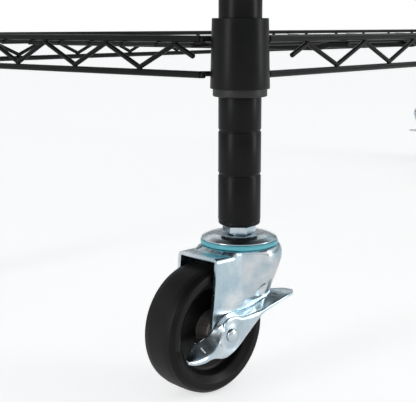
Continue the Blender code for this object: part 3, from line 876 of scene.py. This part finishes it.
def wheel_shape(material_index_of_hub):
    """The wheel, turned round Z: crowned tread, rounded shoulders, dished sides, webs and hub."""
    half = fillet(flat([
        (3.3 * MM, 13.4 * MM), (10.2 * MM, 13.4 * MM), (10.8 * MM, 12.8 * MM), (11.0 * MM, 4.6 * MM),
        (24.6 * MM, 4.5 * MM), (26.2 * MM, 9.6 * MM), (30.3 * MM, 12.5 * MM), (34.2 * MM, 12.6 * MM),
        (36.4 * MM, 10.2 * MM), (WHEEL_R - 0.15 * MM, 6.2 * MM), (WHEEL_R, 0),
    ]), [0.3 * MM, 0.3 * MM, 1.2 * MM, 2.4 * MM, 3.0 * MM, 1.6 * MM, 1.8 * MM, 3.0 * MM, 4.0 * MM],
        steps=5)
    other = [Vector((p.x, -p.y, 0)) for p in reversed(half[:-1])]
    wheel = Shape()
    wheel.turned(half + other, steps=128, closed=True)
    data = wheel.mesh("wheel", sharp=50)
    for face in data.polygons:
        if Vector(face.center[:2]).length < 11.2 * MM:
            face.material_index = material_index_of_hub
    return data


def axle_shape(near_end, shoulder):
    """The riveted axle along Z with a domed head at each end."""
    far_end = -(FORK_HALF + GAP)
    head, shank, dome = 4.0 * MM, 3.0 * MM, 1.9 * MM
    near = [(0, near_end + dome)] + [
        (head * math.sin(a), near_end + 0.3 * MM + (dome - 0.3 * MM) * math.cos(a))
        for a in (math.radians(15 * k) for k in range(1, 7))
    ] + [(head, near_end), (shank, near_end)]
    if shoulder:
        near += [(shank, near_end - LEVER_SHEET - 2 * GAP), (5 * MM, near_end - LEVER_SHEET - 2 * GAP),
                 (5 * MM, FORK_HALF + GAP), (shank, FORK_HALF + GAP)]
    far = [(head, far_end)] + [
        (head * math.cos(a), far_end - 0.3 * MM - (dome - 0.3 * MM) * math.sin(a))
        for a in (math.radians(15 * k) for k in range(6))
    ] + [(0, far_end - dome)]
    axle = Shape()
    axle.turned(near + [(shank, far_end)] + far, steps=48)
    return axle.mesh("axle", sharp=40)


# The lever's stations from the rear tip to the front tip, in mm about the axle:
# inner edge (u, v, z), fold (u, v, z), lower edge (u, z) on the fold's v
LEVER_STATIONS = (
    ((-56.6, 15.6, 14.2), (-55.6, 19.0, 14.6), (-55.6, 14.2)),
    ((-54.2, 12.0, 14.5), (-52.5, 21.6, 14.4), (-52.5, 13.6)),
    ((-48.5, 10.2, 15.1), (-47.0, 22.5, 13.6), (-47.0, 12.6)),
    ((-44.0, 10.2, 15.7), (-38.5, 22.5, 11.8), (-38.5, 10.6)),
    ((-40.4, 12.4, 15.4), (-31.5, 22.5, 10.3), (-31.5, 8.8)),
    ((-33.0, 16.4, 13.2), (-26.0, 22.5, 8.9), (-26.0, 7.2)),
    ((-25.5, 16.5, 11.2), (-20.0, 22.5, 8.2), (-20.0, 3.0)),
    ((-15.0, 16.5, 10.0), (-12.0, 22.5, 8.3), (-12.0, -3.0)),
    ((-6.5, 16.5, 10.6), (-5.0, 22.5, 9.4), (-4.5, -8.6)),
    ((-0.5, 16.5, 9.8), (1.2, 22.5, 9.9), (2.5, -11.6)),
    ((4.2, 16.5, 7.2), (4.3, 22.5, 8.2), (7.0, -11.9)),
    ((7.6, 16.3, 4.4), (5.6, 22.5, 3.0), (10.0, -11.2)),
    ((10.6, 14.8, 1.0), (9.4, 22.5, -1.6), (13.2, -10.4)),
    ((14.0, 13.5, -1.0), (13.4, 22.5, -5.8), (16.4, -10.4)),
    ((18.5, 13.3, -2.3), (18.2, 22.5, -8.0), (20.0, -11.0)),
    ((23.5, 13.5, -4.3), (23.8, 22.5, -8.5), (24.5, -11.0)),
    ((28.0, 15.6, -6.2), (29.0, 22.4, -8.2), (29.2, -10.2)),
    ((31.4, 18.4, -7.3), (32.2, 21.8, -7.8), (32.2, -9.2)),
)


def lever_skin():
    """The lever's outer skin: a flange from the inner edge to the fold, then the side plate."""
    steps = 5
    inner = spline([i for i, _, _ in LEVER_STATIONS], steps)
    fold = spline([f for _, f, _ in LEVER_STATIONS], steps)
    lower = spline([(b[0], f[1], b[1]) for _, f, b in LEVER_STATIONS], steps)
    rows = []
    for i, f, b in zip(inner, fold, lower):
        way_in, way_down = (i - f), (b - f)
        reach = min(2.4, 0.45 * way_in.length, 0.62 * way_down.length)
        start, end = f + way_in.normalized() * reach, f + way_down.normalized() * reach
        row = [i.lerp(start, k / 6) for k in range(6)]
        row += [start * (1 - t)**2 + f * 2 * t * (1 - t) + end * t**2
                for t in (k / 6 for k in range(7))]
        row += [end.lerp(b, k / 12) for k in range(1, 13)]
        rows.append([dished(p) * MM for p in row])
    skin = Shape()
    skin.grid(rows)
    return skin


def dished(p):
    """A shallow round pressing in the side plate about the axle, in mm."""
    r = math.hypot(p.x, p.z)
    if p.y < 20:
        return p
    depth = 0.55 * (smooth_step(5.0, 6.2, r) - smooth_step(8.6, 10.0, r))
    return Vector((p.x, p.y - depth, p.z))


def lever_shape():
    """The lever with its tongue, thickened inwards, with softened cut edges."""
    skin = lever_skin()
    tongue = [[Vector((u, v, z)) * MM for v, z in line] for u, line in (
        (10.8, ((14.4, -0.6), (12.4, -0.8), (10.8, -1.0), (9.6, -1.5), (8.9, -2.8), (8.7, -4.4))),
        (12.4, ((14.2, -0.5), (12.2, -0.6), (10.4, -0.8), (9.0, -1.3), (8.3, -2.6), (8.1, -4.4))),
        (15.4, ((13.9, -1.4), (12.0, -1.4), (10.2, -1.5), (8.9, -1.9), (8.2, -3.1), (8.0, -4.8))),
        (17.2, ((13.8, -2.2), (12.2, -2.3), (10.6, -2.4), (9.4, -2.8), (8.8, -3.8), (8.6, -5.2))),
    )]
    skin.grid(tongue)
    data = skin.mesh("lever", sharp=60)
    plate = max(data.polygons, key=lambda p: p.center.y)
    if plate.normal.y < 0:
        data.flip_normals()
    return settle(
        data,
        ("SOLIDIFY", {"thickness": LEVER_SHEET, "offset": -1.0, "use_even_offset": False}),
        ("BEVEL", {"width": 0.3 * MM, "segments": 2, "limit_method": "ANGLE",
                   "angle_limit": math.radians(50)}),
    )


def tab_frame(station, share, next_station):
    """A frame lying on a tab: a point, and the directions along it, across it and out of it."""
    inner, fold = Vector(LEVER_STATIONS[station][0]), Vector(LEVER_STATIONS[station][1])
    inner_2 = Vector(LEVER_STATIONS[next_station][0])
    fold_2 = Vector(LEVER_STATIONS[next_station][1])
    centre = inner.lerp(fold, share) * MM
    along = (inner_2.lerp(fold_2, share) * MM - centre).normalized()
    across = (fold - inner).normalized()
    up = along.cross(across).normalized()
    if up.z < 0:
        up = -up
    return centre, along, across, up


def bar_mark():
    centre, _, across, up = tab_frame(14, 0.55, 15)
    start = centre - across * BAR_LENGTH / 2 + up * 0.02 * MM
    mark = Shape()
    mark.tube([start, start + across * BAR_LENGTH], BAR_R, 10, 0.6)
    return mark.mesh("bar_mark")


def ring_mark():
    centre, along, _, up = tab_frame(3, 0.52, 2)
    side = up.cross(along)
    mark = Shape()
    rows = []
    for i in range(32):
        a = 2 * math.pi * i / 32
        out = along * math.cos(a) + side * math.sin(a)
        rows.append([centre + out * RING_R + (out * math.cos(b) + up * math.sin(b)) * RING_WIRE
                     for b in (2 * math.pi * j / 8 for j in range(8))])
    mark.grid(rows, ring=True, loop=True)
    return mark.mesh("ring_mark")


def caster_place(corner):
    """The caster's own frame in the world, from its joints."""
    side = Vector(JOINTS["roll_" + corner]["axis"]).normalized()
    trail = side.cross(Vector((0, 0, 1)))
    turn = Matrix((trail, side, (0, 0, 1))).transposed().to_4x4()
    return Matrix.Translation(AXES[corner]) @ turn


def headed(data, turn):
    """A copy of the mesh turned in place, so that its box keeps to the cart's axes."""
    copy = data.copy()
    copy.transform(turn)
    return copy


def build_casters(zinc, stem_zinc, teal, rubber, boss, light_mark, dark_mark):
    stem, raceway, seal, fork = stem_shape(), raceway_shape(), seal_shape(), fork_shape()
    wheel, lever = wheel_shape(1), lever_shape()
    wheel.materials.append(rubber)
    wheel.materials.append(boss)
    plain_axle = axle_shape(FORK_HALF + GAP, False)
    brake_axle = axle_shape(LEVER_OUT + GAP, True)
    bar, ring = bar_mark(), ring_mark()
    hub = Matrix.Translation((TRAIL, 0, WHEEL_R))
    across = hub @ Matrix.Rotation(-math.pi / 2, 4, "X")
    for corner in CORNERS:
        at = caster_place(corner)
        turn = at.to_3x3().to_4x4()
        body, steel = "caster_" + corner, "zinc_plate"
        add(f"hex_stem_{corner}", stem, stem_zinc, "root", [f"caster_stem_{corner}"], at)
        add(f"cup_washer_{corner}", raceway, stem_zinc, "root",
            [f"caster_raceway_{corner}"], at)
        add(f"seal_ring_{corner}", seal, teal, body, [f"caster_seal_{corner}"], at)
        add(f"pressed_fork_{corner}", headed(fork, turn), zinc, body,
            [f"caster_fork_{corner}"], Matrix.Translation(AXES[corner]))
        add(f"wheel_body_{corner}", wheel, rubber, "wheel_" + corner,
            [f"caster_wheel_{corner}"], at @ across)
        braked = corner in BRAKED
        add(f"rivet_axle_{corner}", brake_axle if braked else plain_axle, stem_zinc, body,
            [f"caster_axle_{corner}"], at @ across)
        if braked:
            rocker = "brake_" + corner
            add(f"foot_lever_{corner}", headed(lever, turn), zinc, rocker,
                [f"brake_lever_{corner}"], Matrix.Translation((at @ hub).translation))
            add(f"bar_mark_{corner}", bar, light_mark, rocker, place=at @ hub)
            add(f"ring_mark_{corner}", ring, dark_mark, rocker, place=at @ hub)


# Studio


def floor():
    bpy.ops.mesh.primitive_grid_add(size=40, x_subdivisions=4, y_subdivisions=4)
    plane = bpy.context.object
    plane.name = "studio_floor"
    plane.data.materials.append(floor_finish())


def area_light(name, at, target, size, power):
    data = bpy.data.lights.new(name, "AREA")
    data.shape = "RECTANGLE"
    data.size, data.size_y = size
    data.energy = power
    lamp = bpy.data.objects.new(name, data)
    bpy.context.scene.collection.objects.link(lamp)
    lamp.location = at
    lamp.rotation_euler = (Vector(target) - Vector(at)).to_track_quat("-Z", "Y").to_euler()
    return lamp


CAMERA_AT = AXES["front_left"] + Vector((-0.4193, -0.3274, 0.2090))
CAMERA_YAW = 39.97
CAMERA_DOWN = 9.30
CAMERA_LENS = 79.62
CAMERA_SHIFT = -0.06
WORLD_LIGHT = 1.0
FLOOR_GLOW = 0.6
SKY = ((0.0, 0.65), (0.12, 0.32), (0.24, 0.42), (0.42, 1.0), (0.54, 0.80), (0.62, 0.42),
       (0.80, 0.12), (1.0, 0.04))


def camera():
    data = bpy.data.cameras.new("camera")
    data.sensor_width = 36
    data.lens = CAMERA_LENS
    data.shift_y = CAMERA_SHIFT
    data.clip_start = 0.01
    eye = bpy.data.objects.new("camera", data)
    bpy.context.scene.collection.objects.link(eye)
    eye.location = CAMERA_AT
    eye.rotation_euler = (math.radians(90 - CAMERA_DOWN), 0, math.radians(CAMERA_YAW - 90))
    bpy.context.scene.camera = eye


def studio():
    """White surroundings as the camera sees them, graded ones for the light, and two soft boxes."""
    world = bpy.data.worlds.new("studio")
    bpy.context.scene.world = world
    world.use_nodes = True
    nodes, link = world.node_tree.nodes, world.node_tree.links.new
    seen = nodes["Background"]
    seen.inputs["Color"].default_value = (1.0, 1.0, 1.0, 1.0)
    lit = nodes.new("ShaderNodeBackground")
    lit.inputs["Strength"].default_value = WORLD_LIGHT
    apart = nodes.new("ShaderNodeSeparateXYZ")
    ramp = nodes.new("ShaderNodeValToRGB")
    link(nodes.new("ShaderNodeTexCoord").outputs["Generated"], apart.inputs[0])
    link(apart.outputs["Z"], ramp.inputs["Fac"])
    stops = ramp.color_ramp.elements
    for _ in range(len(SKY) - 2):
        stops.new(0.5)
    for stop, (height, shade) in zip(stops, SKY):
        stop.position = height
        stop.color = (shade * 0.95, shade * 0.98, shade, 1.0)
    link(ramp.outputs["Color"], lit.inputs["Color"])
    choice = nodes.new("ShaderNodeMixShader")
    link(nodes.new("ShaderNodeLightPath").outputs["Is Camera Ray"], choice.inputs[0])
    link(lit.outputs[0], choice.inputs[1])
    link(seen.outputs[0], choice.inputs[2])
    link(choice.outputs[0], nodes["World Output"].inputs["Surface"])
    focus = AXES["front_left"] + Vector((0, 0, 0.12))
    area_light("soft_box_left", focus + Vector((-1.5, 0.35, 0.35)), focus, (0.4, 1.3), 6)
    area_light("soft_box_right", focus + Vector((1.0, -1.4, 0.45)), focus, (0.5, 1.3), 7)
    bpy.context.scene.view_settings.view_transform = "Standard"


def main():
    coat = powder_coat()
    plastic = moulded_plastic("sleeve_plastic", 0.012, 0.42)
    zinc = zinc_plate()
    build_posts(coat, plastic)
    build_shelves(coat)
    build_casters(zinc, zinc_plate("bright_zinc", 0.15), teal_plastic(), hard_rubber(),
                  hub_plastic(), mark_paint("light_mark", (0.75, 0.78, 0.80)),
                  mark_paint("dark_mark", (0.16, 0.18, 0.20)))
    socket_finish = zinc_plate("socket_steel", 0.3)
    for corner in CORNERS:
        frame["nodes"]["stem_socket_" + corner].data.materials.clear()
        frame["nodes"]["stem_socket_" + corner].data.materials.append(socket_finish)
    floor()
    camera()
    studio()


main()
